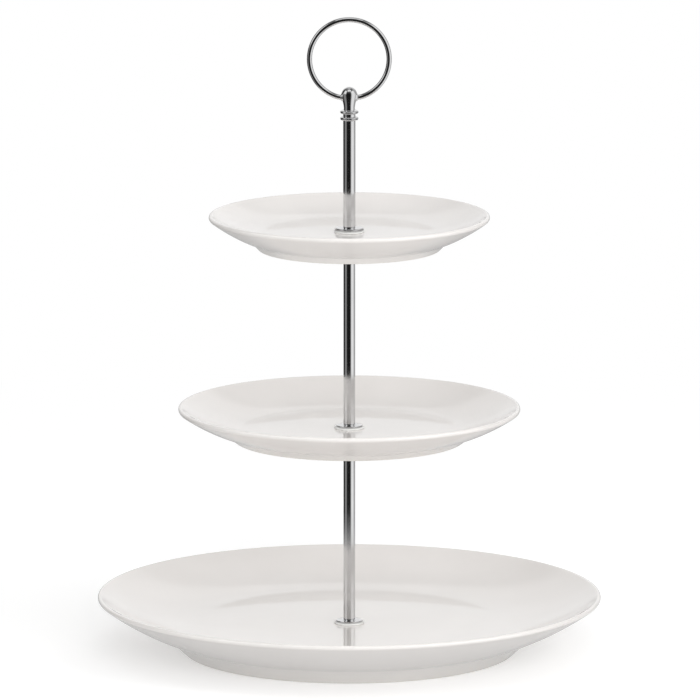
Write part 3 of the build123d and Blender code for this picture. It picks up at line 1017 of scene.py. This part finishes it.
collar = [(COLLAR_RADIUS, low_bead + BEAD_HALF, BEAD_ROOT_ROUND),
          (COLLAR_RADIUS, high_bead - BEAD_HALF, BEAD_ROOT_ROUND)]
waist = [(WAIST_RADIUS, high_bead + BEAD_HALF, BEAD_ROOT_ROUND), (WAIST_RADIUS, waist_z, 0)]
finial_outline = rounded(
    [(0, seat, 0), (COLLAR_RADIUS, seat, COLLAR_EDGE)] + bead_edge(low_bead) + collar
    + bead_edge(high_bead) + waist, closed=False)
finial_outline += bezier([
    (WAIST_RADIUS, waist_z), (FLARE_RADIUS, pivot_z - FLARE_DROP),
    (DOME_RADIUS, pivot_z - SHOULDER_DROP), (DOME_RADIUS, dome_z)], FLARE_STEPS)
finial_outline += arc(Vector((0, dome_z)), Vector((DOME_RADIUS, dome_z)), Vector((0, crown)), FINE_STEP)
print("finial outline has", len(finial_outline), "points")

# %% Raise the bosses, drill the cross hole and add the stem
BOSS_RADIUS = 1.8 * MM
BOSS_REACH = 4.4 * MM
BOSS_BLEND = 0.4 * MM
PIN_RADIUS = 0.95 * MM
PIN_PLAY = 0.1 * MM
STEM_LENGTH = 8.0 * MM
HEAD_SEGMENTS = 160
DRILL_SEGMENTS = 48

turned_head = baked(outline_object(finial_outline, closed=False), lathe, LATHE_INPUTS,
                    Segments=HEAD_SEGMENTS, Finish=chrome)
for point in turned_head.vertices:
    from_axis = sqrt(point.co.y ** 2 + (point.co.z - pivot_z) ** 2)
    rise = min(1, max(0, (BOSS_RADIUS + BOSS_BLEND - from_axis) / BOSS_BLEND))
    rise = rise * rise * (3 - 2 * rise)
    if rise > 0 and abs(point.co.x) > BOSS_RADIUS / 2:
        side = 1 if point.co.x > 0 else -1
        point.co.x += rise * (side * BOSS_REACH - point.co.x)
outward(turned_head)
drilled = add_object("drilled", turned_head)
drill_mesh = bpy.data.meshes.new("drill")
work = bmesh.new()
bmesh.ops.create_cone(work, cap_ends=True, segments=DRILL_SEGMENTS, radius1=PIN_RADIUS + PIN_PLAY,
                      radius2=PIN_RADIUS + PIN_PLAY, depth=4 * BOSS_REACH)
for point in work.verts:
    point.co = Vector((point.co.z, point.co.x, point.co.y + pivot_z))
bmesh.ops.recalc_face_normals(work, faces=work.faces)
work.to_mesh(drill_mesh)
work.free()
drill = add_object("drill", drill_mesh)
cut = drilled.modifiers.new("cross_hole", "BOOLEAN")
cut.operation = "DIFFERENCE"
cut.object = drill
cut.solver = "EXACT"
head = evaluated(drilled)
bpy.data.objects.remove(drilled)
bpy.data.objects.remove(drill)
head.materials.clear()
head.materials.append(chrome)
stem = cut_thread(seat - STEM_LENGTH, seat, chrome)
register(joined(head, stem), "finial", "turned")

# %% [markdown]
# ## The lifting ring
# The ring is one piece of wire, bent round and sprung into the head: its two ends are turned down
# to thin pins that point at each other. A third tree sweeps a circle along a path. The path is
# worked out from arcs, and each of its points carries the wire's radius there.

# %% The wire tree
wire, WIRE_INPUTS, given = new_tree("wire", {"Path": "Geometry", "Sides": "Int", "Finish": "Material"})
line = node(wire, "GeometryNodeMeshToCurve", {"Mesh": given["Path"]}).outputs[0]
thick = node(wire, "GeometryNodeInputNamedAttribute", {"Name": "thick"}, data_type="FLOAT").outputs[0]
circle = node(wire, "GeometryNodeCurvePrimitiveCircle", {
    "Resolution": given["Sides"], "Radius": 1.0}).outputs[0]
swept = node(wire, "GeometryNodeCurveToMesh", {
    "Curve": line, "Profile Curve": circle, "Scale": thick, "Fill Caps": True}).outputs[0]
finish_tree(wire, swept, given)
print("wire inputs:", list(WIRE_INPUTS))

# %% The ring's path
BEND = 6.0 * MM
PIN_GAP = 0.5 * MM           # from the middle of the head to each pin's end
WIRE_EDGE = 0.1 * MM         # the round on the pins' ends and on their shoulders
SHOULDER_STEP = 0.01 * MM    # the shoulder's face is almost square to the pin
HOOP_STEP = radians(1.5)     # largest turn between points of the hoop
WIRE_SIDES = 64
ring_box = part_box("handle_ring")
wire_radius = ring_box[1][1]
hoop_radius = ring_box[1][0] - wire_radius
hoop = Vector((0, high("handle_ring") - wire_radius - hoop_radius))
bend_rise = hoop.y - pivot_z - BEND
shoulder = sqrt((hoop_radius - BEND) ** 2 - bend_rise ** 2)
bend = Vector((shoulder, pivot_z + BEND))
joint = hoop + (bend - hoop).normalized() * hoop_radius
half = [(PIN_GAP, pivot_z, PIN_RADIUS - WIRE_EDGE), (PIN_GAP + WIRE_EDGE, pivot_z, PIN_RADIUS),
        (shoulder - TINY, pivot_z, PIN_RADIUS), (shoulder, pivot_z, PIN_RADIUS),
        (shoulder + SHOULDER_STEP, pivot_z, wire_radius - WIRE_EDGE)]
curve = arc(bend, Vector((shoulder, pivot_z)), joint, FINE_STEP)[1:]
curve += arc(hoop, joint, hoop + Vector((0, hoop_radius)), HOOP_STEP)[1:]
half += [(point.x, point.y, wire_radius) for point in curve]
path = half + [(-x, z, size) for x, z, size in reversed(half[:-1])]
print("hoop radius", round(hoop_radius / MM, 2), "mm, pins reach", round(shoulder / MM, 2), "mm out")

# %% Bend the ring
ring_path = bpy.data.meshes.new("ring_path")
links = [(i, i + 1) for i in range(len(path) - 1)]
ring_path.from_pydata([(x, 0, z) for x, z, size in path], links, [])
paint(ring_path, "thick", [size for x, z, size in path])
ring_mesh = baked(add_object("ring_path", ring_path), wire, WIRE_INPUTS, Sides=WIRE_SIDES, Finish=chrome)
register(ring_mesh, "handle_ring", "wire")
